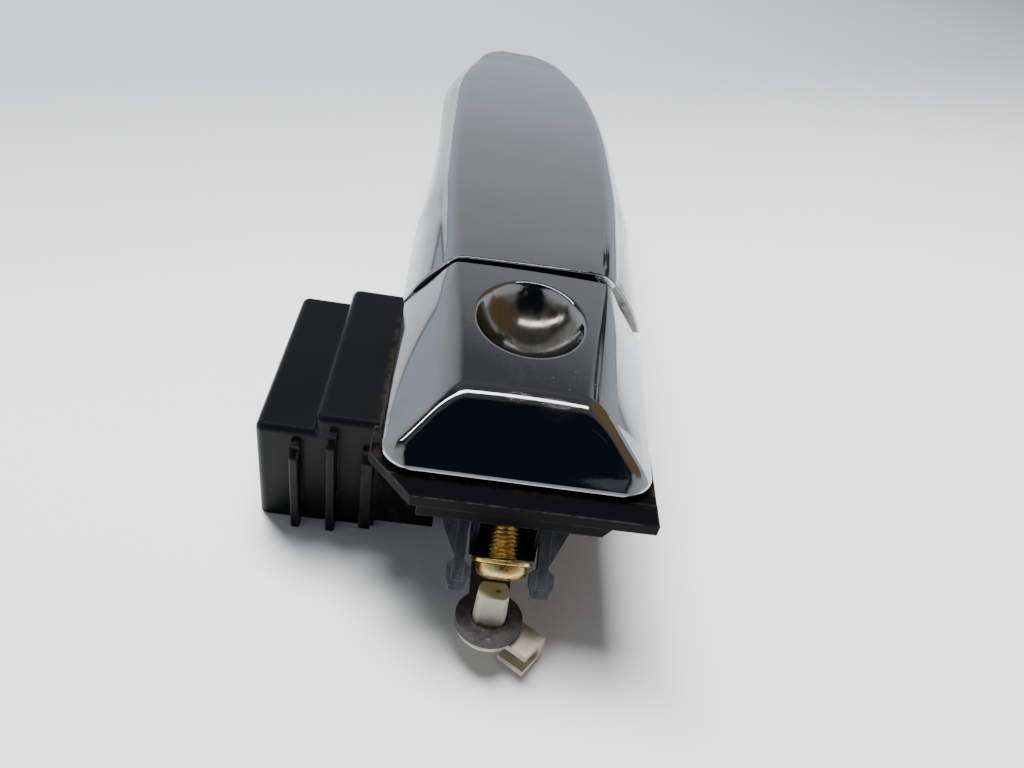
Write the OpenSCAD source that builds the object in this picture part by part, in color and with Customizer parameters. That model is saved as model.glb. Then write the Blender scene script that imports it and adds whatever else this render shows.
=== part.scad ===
// Exterior car door handle: a hinged pull grip, a fixed end cap with a round dish, the
// carrier behind the door skin, and the bell crank that moves the latch rod.
// X runs across the handle, Y along it from the cap to the grip's far tip, and +Z points
// out of the door. The origin lies on the carrier's seat face, on the centre line, at the
// near rim of the cap. The door skin lies between z = 0 and z = skin_t.

/* [Seat and end cap] */
// Thickness of the door skin that the carrier and the chrome rims clamp
skin_t = 1.0; // [0.8:0.1:1.2]
// Length of the end cap along the handle
cap_len = 51.6; // [51:0.2:52]
// Half width of the cap at its near rim
cap_near_half = 27; // [26.5:0.1:27.4]
// Half width of the cap at its far rim
cap_far_half = 28.7; // [28.2:0.1:29]
// Height of the cap's flat face at its far edge
cap_top = 15.7; // [15.2:0.1:16]
// Diameter of the dish in the cap's flat face
dish_d = 24; // [22:0.5:25]
// Depth of the dish
dish_depth = 7; // [6:0.5:7.5]
// Wall of the chrome shells
shell_t = 2.2; // [2:0.1:2.4]

/* [Grip] */
// Place of the grip's near end, past the seam to the cap
grip_near_y = 53; // [52.8:0.1:53.4]
// Place of the grip's far tip
grip_tip_y = 226; // [225:0.5:227]
// Place of the grip's hinge pin along the handle
hinge_y = 210; // [209:0.5:211]
// Height of the hinge pin, below the seat face
hinge_z = -6.5; // [-7:0.5:-6]
// Diameter of the steel pins and of the crank's shaft
pin_d = 5; // [4.8:0.1:5.2]
// Radial clearance of a running fit
run_clear = 0.05; // [0.02:0.01:0.09]

/* [Bell crank] */
// Place of the crank's shaft along the handle
pivot_y = 27; // [26.5:0.5:27.5]
// Height of the crank's shaft, below the seat face
pivot_z = -13.5; // [-14:0.5:-13]
// Length of the crank's input lever
lever_r = 38; // [37.5:0.1:38.2]
// Angle of the input lever below the horizontal when the grip is closed
lever_dip = 14.5; // [14:0.1:15]
// Diameter of the eye that carries the rod clip
eye_d = 13.6; // [13:0.1:14]
// Bore of that eye
eye_bore_d = 7.4; // [7.2:0.1:7.6]
// Top face of the eye, at its centre
eye_top = -24; // [-24.5:0.1:-23.5]
// Tilt of the eye and of the rod clip out of the level
eye_tilt = 10; // [8:1:11]

/* [Side housing] */
// Outer face of the housing, across the handle
housing_x = -53.6; // [-54:0.2:-53]
// Place of the step in the housing's roof
housing_step_x = -41.3; // [-42:0.1:-41]
// Near face of the housing
housing_near_y = 12; // [11.8:0.1:12.2]
// Far face of the housing
housing_far_y = 58; // [57.5:0.1:58.5]
// Roof of the lower step
housing_low_roof = -4.4; // [-4.8:0.1:-4]
// Lowest edge of the housing
housing_floor = -32; // [-32.4:0.1:-31.6]
// Wall of the housing
housing_t = 2; // [1.8:0.1:2.2]

/* [Clamp screw] */
// Angle of the clamp screw below the horizontal
screw_tilt = 37; // [35:1:39]
// Outer diameter of the screw's thread
thread_d = 5.8; // [5.6:0.1:6]
// Pitch of the thread
thread_pitch = 1; // [0.9:0.1:1.1]

/* [Hidden] */
$fn = 32;

pin_r = pin_d / 2;
bore_r = pin_r + run_clear;
plate_t = 2.6;
plate_front_y = -5.3;
plate_half = 28;
boss_floor = -5.3;
screw_at = [-0.5, -2, -9.3];
hook_left_x = -9;
hook_right_x = 7.6;
eye_at = [-1.3, -13];
arm_w = 8.4;
rail_in = 10;
rail_out = 14;
leg_y = 69.5;
leg_t = 5;
leg_half = 5;
foot_z = -30.5;
pad_top = pivot_z - lever_r * sin(lever_dip) - 2.5 - 0.4;
rod_d = 3;
housing_screw_y = 51;
clip_turn = -36;
near_skew = 0.036;
liner_screw_ys = [112, 130, 148];
cap_near_top_y = 11.8;
cap_near_top_half = 14.6;
cap_near_top = 12.5;
cap_far_top_half = 18.6;
dish_y = 35.4;
facet_slope = atan((cap_top - cap_near_top) / (cap_len - cap_near_top_y));
dish_r = dish_d / 2;
dish_ball_r = (dish_r * dish_r + dish_depth * dish_depth) / (2 * dish_depth);

// The grip's outline: place along the handle, left and right edges of the top face,
// height of the top face, left and right lower edges, height of the lower edge
GRIP = [
    [grip_near_y, 18.6, 18.6, 16.1, 29.0, 29.2, 1.0],
    [64, 19.4, 19.6, 16.7, 29.3, 29.8, 1.0],
    [76, 20.6, 20.4, 17.0, 29.6, 30.0, 1.0],
    [86, 21.5, 20.9, 17.1, 29.5, 29.4, 2.8],
    [95, 22.2, 21.2, 17.0, 28.5, 28.4, 5.6],
    [110, 23.0, 21.4, 16.7, 28.2, 27.4, 6.0],
    [130, 23.8, 21.3, 15.8, 28.5, 26.6, 6.0],
    [150, 24.0, 20.6, 14.3, 29.2, 25.4, 6.0],
    [166, 24.0, 19.3, 12.7, 29.8, 24.2, 5.2],
    [178, 23.8, 18.2, 11.3, 30.0, 23.2, 3.2],
    [190, 23.0, 16.6, 9.7, 28.4, 21.4, 2.6],
    [200, 21.9, 14.8, 8.2, 25.8, 19.0, 2.6],
    [208, 20.6, 12.6, 7.0, 23.2, 16.2, 2.7],
    [216, 18.8, 9.4, 6.0, 20.4, 11.8, 3.2],
    [222, 16.0, 5.4, 5.2, 16.8, 7.0, 3.7],
    [grip_tip_y, 12.4, 0.6, 4.7, 12.8, 1.2, 4.1]
];

// ---- small helpers ----
module box3(low, high) {
    translate(low) cube(high - low);
}
module rod_x(x0, x1, y, z, r) {
    translate([x0, y, z]) rotate([0, 90, 0]) cylinder(h = x1 - x0, r = r);
}
// A flat profile drawn in Y and Z, as thick as x0 to x1
module side_plate(x0, x1) {
    translate([x0, 0, 0]) rotate([90, 0, 90]) linear_extrude(x1 - x0) children();
}
// Local +Z runs down the clamp screw, out of its boss
module along_screw() {
    translate(screw_at) rotate([90 + screw_tilt, 0, 0]) children();
}
function unit(v) = v / norm(v);
function bend(a, b, c, reach, n) = let (p = b + reach * unit(a - b), q = b + reach * unit(c - b))
    [for (i = [0:n]) let (t = i / n) (1 - t) * (1 - t) * p + 2 * t * (1 - t) * b + t * t * q];
// Skins a list of rings that all have the same number of points
module skin(rings) {
    n = len(rings[0]);
    last = len(rings) - 1;
    faces = concat(
        [[for (i = [0:n - 1]) i]],
        [for (k = [0:last - 1], i = [0:n - 1]) let (j = (i + 1) % n, a = k * n, b = a + n)
            each [[a + i, b + i, b + j], [a + i, b + j, a + j]]],
        [[for (i = [n - 1:-1:0]) last * n + i]]);
    polyhedron([for (ring = rings) each ring], faces);
}

// ---- end cap ----
module cap_solid(inset) {
    round_r = 3.4 - inset * 0.8;
    rim_r = 6.5 - inset;
    low = inset > 0 ? skin_t - 1 : skin_t;
    hull() {
        for (side = [-1, 1]) {
            translate([side * (cap_near_half - inset * 1.25 - rim_r), rim_r + inset * 1.25, low])
                cylinder(h = 0.6, r = rim_r);
            translate([side * (cap_far_half - inset * 1.25) - side * 0.6, cap_len - inset - 0.6, low])
                cylinder(h = 0.6, r = 0.6);
            translate([side * (cap_near_top_half - inset * 0.5 - round_r * 0.55),
                cap_near_top_y + inset * 0.5 + round_r * 0.55, cap_near_top - inset - round_r])
                sphere(round_r);
            translate([side * (cap_far_top_half - inset * 0.5 - round_r * 0.6),
                cap_len - inset - 0.6, cap_top - inset - round_r])
                rotate([90, 0, 0]) cylinder(h = 1.2, r = round_r, center = true);
        }
    }
}
module dish_ball(r) {
    rim_z = cap_near_top + (dish_y - cap_near_top_y) * tan(facet_slope);
    translate([0, dish_y, rim_z]) rotate([facet_slope, 0, 0])
        translate([0, 0, dish_ball_r - dish_depth]) sphere(r, $fn = 64);
}
module cap_shell() {
    color("silver") difference() {
        union() {
            difference() {
                cap_solid(0);
                cap_solid(shell_t);
            }
            intersection() {
                cap_solid(0);
                dish_ball(dish_ball_r + 1.8);
            }
        }
        dish_ball(dish_ball_r);
    }
}
// One snap hook, drawn in the screw's frame: the stem, its flared root and the barb
module snap_hook(x, outward) {
    stem_half = 1.1;
    translate([x - screw_at[0], 0, 0]) {
        translate([-stem_half, -1.4, -20]) cube([2 * stem_half, 2.8, 31.5]);
        rotate([90, 0, 0]) translate([0, 0, -1.3]) linear_extrude(2.6) {
            polygon([[outward * stem_half, -4], [outward * (stem_half + 3.9), -3],
                [outward * (stem_half + 3.9), -1], [outward * stem_half, 7]]);
            polygon([[-2.4, 8.6], [-1, 7.4], [1, 7.4], [2.4, 8.6], [2.4, 10.6], [1.4, 13.4],
                [-1.4, 13.4], [-2.4, 10.6]]);
        }
    }
}
module cap_retainer() {
    color("dimgray") difference() {
        union() {
            box3([-19, 9, skin_t + 0.2], [19, 47, skin_t + 2.6]);
            intersection() {
                along_screw() union() {
                    snap_hook(hook_left_x, -1);
                    snap_hook(hook_right_x, 1);
                }
                box3([-30, -30, -40], [30, 30, skin_t + 2.5]);
            }
        }
        translate([0, dish_y, 0]) cylinder(h = 10, r = 8);
        for (side = [-1, 1]) box3([side * 14 - 2, 14, 0], [side * 14 + 2, 24, 10]);
    }
}

// ---- clamp screw, its washer and nut ----
module clamp_screw() {
    ridge = 0.45;
    turns = 7;
    color("goldenrod") along_screw() {
        translate([0, 0, -12.4]) cylinder(h = 12.6, r = thread_d / 2 - ridge);
        rotate_extrude() for (i = [0:turns - 1]) translate([0, i * thread_pitch])
            polygon([[0, 0.05], [thread_d / 2 - ridge, 0.05], [thread_d / 2, 0.5],
                [thread_d / 2 - ridge, 0.95], [0, 0.95]]);
        cylinder(h = 7.6, r = thread_d / 2 - ridge);
        difference() {
            rotate_extrude() polygon([[0, 7.5], [5.1, 7.5], [5.1, 8.9], [4.6, 9.8],
                [3.4, 10.4], [0, 10.6]]);
            translate([0, 0, 8.8]) cylinder(h = 3, r = 2.2, $fn = 6);
        }
    }
}
module clamp_washer() {
    color("goldenrod") along_screw() translate([0, 0, 6.6]) difference() {
        cylinder(h = 0.85, r = 6);
        translate([0, 0, -1]) cylinder(h = 3, r = thread_d / 2 + 0.1);
    }
}
module clamp_nut() {
    color("silver") along_screw() translate([0, 0, -7]) difference() {
        translate([-4.95, -4.95, 0]) cube([9.9, 9.9, 4.6]);
        translate([0, 0, -1]) cylinder(h = 8, r = thread_d / 2 + 0.02);
    }
}

// ---- carrier ----
module rail_profile() {
    polygon([[44, -0.5], [80, -0.5], [92, -22], [172, -22], [184, -0.5], [218, -0.5], [218, -11.5],
        [196, -11.5], [184, -28], [78, -29], [74, -14], [44, -14]]);
}
module carrier() {
    color([0.09, 0.09, 0.1]) difference() {
        union() {
            // Seat plate under the cap and the grip's near end
            translate([0, 0, -plate_t]) linear_extrude(plate_t)
                polygon([[-29.2, 4.6], [-20, plate_front_y], [plate_half, plate_front_y],
                    [plate_half, 82], [-plate_half, 82], [-plate_half, 12], [-29.2, 12]]);
            // Second layer along the front edge, with a slanted end
            translate([0, 14, 0]) rotate([90, 0, 0]) linear_extrude(14 - plate_front_y - 0.1)
                polygon([[-18.6, -plate_t + 0.1], [19.4, -plate_t + 0.1], [17.8, boss_floor],
                    [-18.6, boss_floor]]);
            // Boss of the clamp screw
            box3([-7.1, plate_front_y + 0.1, -15.6], [6.3, 10, -plate_t + 0.1]);
            // Front wall and left wall, which close the side housing
            box3([-plate_half, housing_near_y, -30], [-14.8, housing_near_y + 2, -plate_t + 0.1]);
            box3([-plate_half, housing_near_y, -30], [-plate_half + 2, housing_far_y, -plate_t + 0.1]);
            // Right cheek of the crank's shaft
            side_plate(8, 11.4) polygon([[18, -plate_t + 0.1], [38, -plate_t + 0.1],
                [33, -19], [21, -19]]);
            // Backbone rails and floor
            for (side = [-1, 1]) side_plate(side > 0 ? rail_in : -rail_out, side > 0 ? rail_out : -rail_in)
                rail_profile();
            box3([-rail_in - 0.1, 90, -28], [rail_in + 0.1, 176, -25.6]);
            for (y = [105, 125, 145, 165]) box3([-rail_in - 0.1, y, -26], [rail_in + 0.1, y + 2, -22.4]);
            // Far seat plate and the collar that passes through the door skin
            translate([0, 0, -plate_t]) linear_extrude(plate_t) polygon([[-rail_out, 182],
                [rail_out, 182], [rail_out, 208], [9.5, 221], [-rail_out, 221]]);
            box3([-9.5, 199, -0.1], [9.5, 220, 1.3]);
        }
        // The seat is the strip in front of the cap; the rest of the plate lies a little lower
        box3([-30, 0, -0.15], [30, 82.1, 0.5]);
        // Window for the grip's pull leg and the lever
        box3([-7.5, 54.5, -40], [7.5, 79, 1]);
        // Window for the hinge arm
        box3([-7, 201.5, -20], [7, 218.5, 5]);
        // Openings for the two hook arms
        for (x = [hook_left_x, hook_right_x]) along_screw()
            translate([x - screw_at[0] - 1.5, -1.9, -30]) cube([3, 3.8, 60]);
        for (x = [hook_left_x - 5.4, hook_right_x + 1]) along_screw()
            translate([x - screw_at[0], -1.9, -6]) cube([4.4, 3.8, 20]);
        // Pocket in the boss's front, the nut's seat and the way for the screw
        box3([-6, plate_front_y - 1, -14.4], [5.2, -1, boss_floor - 0.1]);
        along_screw() {
            translate([-5, -5, -7.1]) cube([10, 10, 7.6]);
            translate([0, 0, -30]) cylinder(h = 40, r = thread_d / 2 + 0.3);
        }
        // Hub hole in the left wall and shaft hole in the right cheek
        rod_x(-29, -25, pivot_y, pivot_z, 6.2);
        rod_x(7, 12, pivot_y, pivot_z, pin_r);
        // Hinge pin holes through both rails
        rod_x(-16, 16, hinge_y, hinge_z, pin_r);
        // Fixing hole at the far end, outside the collar
        translate([0, 190, -10]) cylinder(h = 20, r = 3.2);
        // Pilot holes of the housing's two screws
        for (z = [-10, -25]) rod_x(-29, -20, housing_screw_y, z, 1.2);
    }
}

// ---- side housing, with its stepped roof, ribs and shaft boss ----
module housing_rib(x, w, low, high, stand) {
    side_plate(x - w / 2, x + w / 2) polygon([[housing_near_y + 0.1, low],
        [housing_near_y - stand, low], [housing_near_y - stand, high - 3],
        [housing_near_y - stand * 0.45, high - 1.5], [housing_near_y - stand * 0.45, high - 0.3],
        [housing_near_y + 0.1, high]]);
}
module side_housing() {
    inner_x = -plate_half - 0.05;
    color([0.1, 0.1, 0.11]) difference() {
        union() {
            box3([housing_x, housing_near_y, housing_floor],
                [inner_x, housing_far_y, housing_low_roof]);
            box3([housing_step_x, housing_near_y, housing_low_roof - 1],
                [inner_x, housing_far_y, 0]);
            housing_rib(-45, 1.9, housing_floor, -7.2, 3.2);
            housing_rib(-37.4, 1.9, housing_floor, -3.0, 3.2);
            housing_rib(-29.6, 2.6, housing_floor + 1.5, -6.5, 2.6);
        }
        box3([housing_x + housing_t, housing_near_y + housing_t, housing_floor - 1],
            [inner_x + 1, housing_far_y - housing_t, housing_low_roof - housing_t]);
        box3([housing_step_x + housing_t, housing_near_y + housing_t, housing_low_roof - housing_t - 1],
            [inner_x + 1, housing_far_y - housing_t, -housing_t]);
        // The plate's edge lets into the roof's inner side
        box3([-29.4, 0, -plate_t - 0.05], [-27, 12.05, 1]);
        rod_x(housing_x - 1, housing_x + 5, pivot_y, pivot_z, pin_r);
    }
    color([0.1, 0.1, 0.11]) {
        difference() {
            rod_x(housing_x + housing_t - 0.1, housing_x + 3.4, pivot_y, pivot_z, 5);
            rod_x(housing_x - 1, housing_x + 5, pivot_y, pivot_z, pin_r);
        }
        // Two lugs that the fixing screws pass through
        for (z = [-10, -25]) difference() {
            box3([-31.2, housing_screw_y - 4, z - 4], [-plate_half - 0.05, housing_far_y - 1, z + 4]);
            rod_x(-32, -27, housing_screw_y, z, 1.7);
        }
    }
}
module housing_screws() {
    color("gray") for (z = [-10, -25]) {
        rod_x(-31.25, -22, housing_screw_y, z, 1.2);
        rod_x(-33.2, -31.25, housing_screw_y, z, 3);
    }
}

// ---- grip ----
// The grip's near end runs back a little towards the right
function near_back(x, i) = i == 0 ? near_skew * (x + 29) : 0;
// One ring of the grip's outer skin, drawn in by a wall thickness
function grip_ring(s, y, wall, drop, i) = let (
        slope_l = (s[4] - s[1]) / (s[3] - s[6]),
        slope_r = (s[5] - s[2]) / (s[3] - s[6]),
        low = s[6] - drop,
        top = s[3] - wall,
        lb = [-(s[4] - wall * 1.25 + slope_l * drop), low],
        lt = [-(s[1] - wall * 0.7), top],
        rt = [s[2] - wall * 0.7, top],
        rb = [s[5] - wall * 1.25 + slope_r * drop, low],
        reach = min(3, (rt[0] - lt[0]) * 0.3, (top - low) * 0.4))
    [for (p = concat([lb], bend(lb, lt, rt, reach, 3), [(lt + rt) / 2 + [0, 0.3]],
        bend(lt, rt, rb, reach, 3), [rb])) [p[0], y + near_back(p[0], i), p[1]]];
module grip_shell() {
    hollow = [for (s = GRIP) if (s[0] < 217) s];
    color("silver") difference() {
        skin([for (i = [0:len(GRIP) - 1]) grip_ring(GRIP[i], GRIP[i][0], 0, 0, i)]);
        skin([for (i = [0:len(hollow) - 1])
            grip_ring(hollow[i], i == 0 ? grip_near_y + shell_t : hollow[i][0], shell_t, 1, i)]);
    }
}
// Black inner shell that closes the grip's underside
module grip_liner() {
    lined = [for (s = GRIP) if (s[0] < 201) s];
    thick = 2.4;
    color([0.1, 0.1, 0.11]) difference() {
        skin([for (i = [0:len(lined) - 1]) let (s = lined[i],
                y = i == 0 ? grip_near_y + shell_t + 0.2 : i == len(lined) - 1 ? 198.5 : s[0],
                slope_l = (s[4] - s[1]) / (s[3] - s[6]), slope_r = (s[5] - s[2]) / (s[3] - s[6]),
                l = s[4] - shell_t * 1.25 - 0.35, r = s[5] - shell_t * 1.25 - 0.35)
            [for (p = [[-l, s[6] + 0.1], [-l + slope_l * thick, s[6] + thick],
                [r - slope_r * thick, s[6] + thick], [r, s[6] + 0.1]])
                [p[0], y + near_back(p[0], i), p[1]]]]);
        // Ways for the pull leg, the hinge arm and the screws
        box3([-6.2, 66.5, -5], [6.2, 77.5, 12]);
        box3([-8.6, 190, -5], [8.6, 205, 12]);
        for (y = liner_screw_ys) translate([-14, y, 0]) cylinder(h = 20, r = 1.6);
        for (x = [-15, 15]) translate([x, 60, 0]) cylinder(h = 20, r = 3);
    }
}
// Reinforcing strap with the pull leg and the hinge arm
module grip_frame() {
    color("gray") difference() {
        union() {
            side_plate(-8, 8) polygon([[60, 9], [140, 9], [152, 8.7], [166, 7.8], [178, 6.1],
                [190, 5.2], [199, 3.7], [207, 2.3], [214, 2.2], [214, 3.3], [208, 4.2], [200, 5.4],
                [190, 6.9], [178, 8.4], [166, 9.9], [150, 11.2], [130, 11.6], [60, 11.6]]);
            box3([-leg_half, leg_y, foot_z], [leg_half, leg_y + leg_t, 10]);
            box3([-leg_half, 58.6, foot_z], [leg_half, leg_y + 0.1, pad_top - 1.5]);
            side_plate(-6, 6) polygon([[203.4, 2], [203.4, -6], [206, -11], [214, -11],
                [216.4, -6], [216.4, 1.4], [212, 2.6]]);
        }
        rod_x(-10, 10, hinge_y, hinge_z, bore_r);
    }
}
module liner_screws() {
    color("gray") for (y = liner_screw_ys) translate([-14, y, 0]) {
        z = lookup(y, [for (s = GRIP) [s[0], s[6]]]);
        translate([0, 0, z - 0.9]) cylinder(h = 0.95, r = 2.6);
        translate([0, 0, z]) cylinder(h = 4.5, r = 1.4);
    }
}
module grip_buffers() {
    color([0.15, 0.15, 0.15]) for (x = [-15, 15])
        translate([x, 60, skin_t + 0.05]) cylinder(h = 3, r = 2.95);
}
module leg_pad() {
    color([0.2, 0.2, 0.2]) box3([-4.4, 61, pad_top - 1.5], [4.4, 68.8, pad_top]);
}
module hinge_pin() {
    color("silver") rod_x(-rail_out - 1.4, rail_out + 1.4, hinge_y, hinge_z, pin_r);
}
module clip_ring(x) {
    difference() {
        rod_x(x, x + 0.8, 0, 0, pin_r + 2);
        rod_x(x - 1, x + 2, 0, 0, pin_r + 0.01);
        box3([x - 1, -1.5, 0], [x + 2, 1.5, 10]);
    }
}
module hinge_clips() {
    color("gray") translate([0, hinge_y, hinge_z]) {
        clip_ring(rail_out + 0.1);
        clip_ring(-rail_out - 0.9);
    }
}
// Rubber gasket round the collar, under the grip's foot
module foot_gasket() {
    color([0.15, 0.15, 0.15]) difference() {
        translate([0, 0, skin_t]) linear_extrude(1.2) polygon([[-13, 184], [13, 184], [14, 196],
            [12.5, 208], [-12.5, 208], [-14, 196]]);
        box3([-9.55, 198.95, 0], [9.55, 220, 5]);
        translate([0, 190, 0]) cylinder(h = 5, r = 5);
    }
}

// ---- bell crank ----
// Local +Z is the axis of the eye, and local z = 0 its top face
module at_eye() {
    translate([eye_at[0], eye_at[1], eye_top]) rotate([-eye_tilt, 0, 0]) children();
}
module bell_crank() {
    hub_r = 5.5;
    end_y = pivot_y + lever_r * cos(lever_dip);
    end_z = pivot_z - lever_r * sin(lever_dip);
    color([0.12, 0.12, 0.13]) difference() {
        union() {
            rod_x(-49.8, 7.6, pivot_y, pivot_z, hub_r);
            // Input lever with a round end
            side_plate(-3, 3) translate([pivot_y, pivot_z]) rotate(-lever_dip)
                polygon([[0, 5.3], [lever_r, 2.4], [lever_r, -0.8], [lever_r - 8, -0.8],
                    [8, -4.6], [0, -5.3]]);
            rod_x(-3, 3, end_y, end_z, 2.5);
            // Output arm down to the eye
            side_plate(eye_at[0] - arm_w / 2, eye_at[0] + arm_w / 2)
                polygon([[pivot_y + 4, pivot_z - 3], [pivot_y - 2, pivot_z + 5],
                    [pivot_y - 6, pivot_z - 1], [3, eye_top - 1.6], [-8, eye_top - 1],
                    [-8, eye_top - 2.8], [9, eye_top - 4.4]]);
            at_eye() translate([0, 0, -2]) cylinder(h = 2, r = eye_d / 2);
            // Tongue that carries the counterweight
            box3([-48.4, 17.6, -15.6], [-31.6, 25, -11.4]);
        }
        rod_x(-60, 20, pivot_y, pivot_z, bore_r);
        at_eye() translate([0, 0, -5]) cylinder(h = 8, r = eye_bore_d / 2);
    }
}
module counterweight() {
    color("lightgray") difference() {
        box3([-49, 16.6, -20], [-31, 21.2, -7.2]);
        box3([-48.4, 17.6, -15.6], [-31.6, 25, -11.4]);
    }
}
module pivot_shaft() {
    color("silver") rod_x(housing_x + 0.3, 12.9, pivot_y, pivot_z, pin_r);
}
module shaft_clip() {
    color("gray") translate([0, pivot_y, pivot_z]) clip_ring(11.5);
}
// Torsion spring round the hub, with one leg on the carrier and one on the lever
module return_spring() {
    wire_r = 0.75;
    coil_r = 6.9;
    turns = 6;
    steps = 16;
    first_x = -22;
    pitch = 1.9;
    sides = 8;
    coil = [for (i = [0:turns * steps]) let (a = 360 * i / steps)
        [first_x + pitch * i / steps, pivot_y + coil_r * cos(a), pivot_z + coil_r * sin(a)]];
    route = concat([[first_x, pivot_y + coil_r, pivot_z - 9]], coil,
        [[first_x + pitch * turns, pivot_y + coil_r, pivot_z + 9]]);
    last = len(route) - 1;
    color("gray") skin([for (k = [0:last]) let (
            p = route[k],
            t = unit(route[min(k + 1, last)] - route[max(k - 1, 0)]),
            u = unit(cross(t, [1, 0, 0.01])),
            v = cross(t, u))
        [for (s = [0:sides - 1]) p + wire_r * (cos(360 * s / sides) * u + sin(360 * s / sides) * v)]]);
}

// ---- nylon clip for the latch rod: post, plate and open channel ----
module rod_clip() {
    disc_top = -2.2;
    plate_top = -2.4;
    bottom = -7.8;
    reach = 10.7;
    seat_y = 2.4;
    seat_z = plate_top - 1.25 - rod_d / 2;
    mouth = rod_d / 2 - 0.05;
    color([0.86, 0.84, 0.76]) at_eye() {
        difference() {
            // Tapered post with a flat front and back
            intersection() {
                translate([0, 0, disc_top - 0.1]) cylinder(h = 9.1, r1 = 3.5, r2 = 3.1);
                box3([-4, -2.3, disc_top - 1], [4, 2.3, 10]);
            }
            translate([0.8, 0, 6.2]) cylinder(h = 2, r = 0.5);
        }
        translate([0, 0, disc_top - 1.3]) cylinder(h = 1.3, r = 6.2);
        rotate([0, 0, clip_turn]) difference() {
            union() {
                box3([0, -1.6, plate_top - 1.25], [reach, 5.4, plate_top]);
                box3([4.5, -1.6, bottom], [reach, 5.4, plate_top]);
            }
            // Round seat of the rod and the open mouth in front of it
            rod_x(2, 15, seat_y, seat_z, rod_d / 2);
            box3([2, -5, seat_z - mouth], [15, seat_y, seat_z + mouth]);
        }
    }
}

carrier();
side_housing();
housing_screws();
cap_shell();
cap_retainer();
clamp_screw();
clamp_washer();
clamp_nut();
grip_shell();
grip_liner();
grip_frame();
liner_screws();
grip_buffers();
leg_pad();
hinge_pin();
hinge_clips();
foot_gasket();
bell_crank();
counterweight();
pivot_shaft();
shaft_clip();
return_spring();
rod_clip();
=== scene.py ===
import math
import bpy
import bmesh
import numpy as np
from mathutils import Matrix, Vector


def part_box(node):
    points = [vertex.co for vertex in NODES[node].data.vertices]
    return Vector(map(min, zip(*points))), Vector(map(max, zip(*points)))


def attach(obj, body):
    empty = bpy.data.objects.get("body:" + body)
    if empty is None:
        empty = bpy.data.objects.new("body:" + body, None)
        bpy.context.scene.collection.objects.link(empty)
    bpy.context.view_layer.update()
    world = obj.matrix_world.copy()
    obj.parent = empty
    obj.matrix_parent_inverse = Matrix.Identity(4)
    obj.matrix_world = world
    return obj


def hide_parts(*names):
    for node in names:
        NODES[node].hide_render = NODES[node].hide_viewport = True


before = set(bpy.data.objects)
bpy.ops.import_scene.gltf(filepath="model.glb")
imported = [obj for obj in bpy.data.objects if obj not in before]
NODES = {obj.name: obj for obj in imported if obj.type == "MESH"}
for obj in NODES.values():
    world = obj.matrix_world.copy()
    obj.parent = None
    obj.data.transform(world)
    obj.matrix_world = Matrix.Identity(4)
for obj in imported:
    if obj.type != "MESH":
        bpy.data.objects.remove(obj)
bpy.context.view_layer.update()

MM = 0.001  # lengths below are in mm and colours are linear, where nothing else is said


# ---------- mesh helpers ----------
def smooth_step(a, b, t):
    t = np.clip((t - a) / (b - a), 0, 1)
    return t * t * (3 - 2 * t)


def soft_min(a, b, k):
    """The lower of two heights, with the edge where they cross rounded over k."""
    h = np.clip(k - np.abs(a - b), 0, None) / k
    return np.minimum(a, b) - h * h * k / 4


def add_object(name, data):
    item = bpy.data.objects.new(name, data)
    bpy.context.scene.collection.objects.link(item)
    return item


def finish_piece(piece, body, node):
    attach(piece, body)
    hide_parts(node)
    return piece


def new_piece(name, verts_mm, faces, body, node, sharp):
    """A piece from points and faces, smooth where it folds by less than sharp degrees."""
    mesh = bpy.data.meshes.new(name)
    mesh.from_pydata([tuple(float(c) * MM for c in v) for v in verts_mm], [], faces)
    mesh.validate()
    mesh.update()
    piece = add_object(name, mesh)
    mesh.shade_smooth()
    mesh.set_sharp_from_angle(angle=math.radians(sharp))
    return finish_piece(piece, body, node)


def piece_from_bmesh(bm, name, body, node, sharp):
    """A piece from a bmesh, with weighted normals so that its flat faces stay flat."""
    mesh = bpy.data.meshes.new(name)
    bm.to_mesh(mesh)
    bm.free()
    piece = add_object(name, mesh)
    mesh.shade_smooth()
    mesh.set_sharp_from_angle(angle=math.radians(sharp))
    weigh = piece.modifiers.new("weighted", "WEIGHTED_NORMAL")
    weigh.keep_sharp = True
    return finish_piece(piece, body, node)


def rounded_edges(bm, edges, width, segments, **more):
    bmesh.ops.bevel(bm, geom=edges, offset=width * MM, offset_type="OFFSET", segments=segments,
                    profile=0.5, affect="EDGES", clamp_overlap=True, **more)


def grid_faces(rows, cols, base=0, wrap=False, flip=False):
    """The quads of a grid of points that are numbered row by row from base."""
    faces = []
    last = cols if wrap else cols - 1
    for r in range(rows - 1):
        for c in range(last):
            d = (c + 1) % cols
            a, b = base + r * cols + c, base + r * cols + d
            e, f = a + cols, b + cols
            faces.append((a, e, f, b) if flip else (a, b, f, e))
    return faces


def softened(node, width, body):
    """A copy of a CAD node with its flat faces joined and its edges rounded."""
    weld, flat_angle, fold_angle = 0.002 * MM, math.radians(0.6), math.radians(38)
    bm = bmesh.new()
    bm.from_mesh(NODES[node].data)
    bmesh.ops.remove_doubles(bm, verts=bm.verts, dist=weld)
    bmesh.ops.dissolve_limit(bm, angle_limit=flat_angle, use_dissolve_boundaries=False,
                             verts=bm.verts, edges=bm.edges)
    bmesh.ops.dissolve_degenerate(bm, dist=weld, edges=bm.edges)

    def folded(e):
        return len(e.link_faces) == 2 and e.calc_face_angle(0) > fold_angle

    picked = [e for e in bm.edges if folded(e) and e.calc_length() > width * MM]
    rounded_edges(bm, picked, width, 2, miter_outer="SHARP")
    bmesh.ops.recalc_face_normals(bm, faces=bm.faces)
    return piece_from_bmesh(bm, node + "_soft", body, node, sharp=40)


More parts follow.
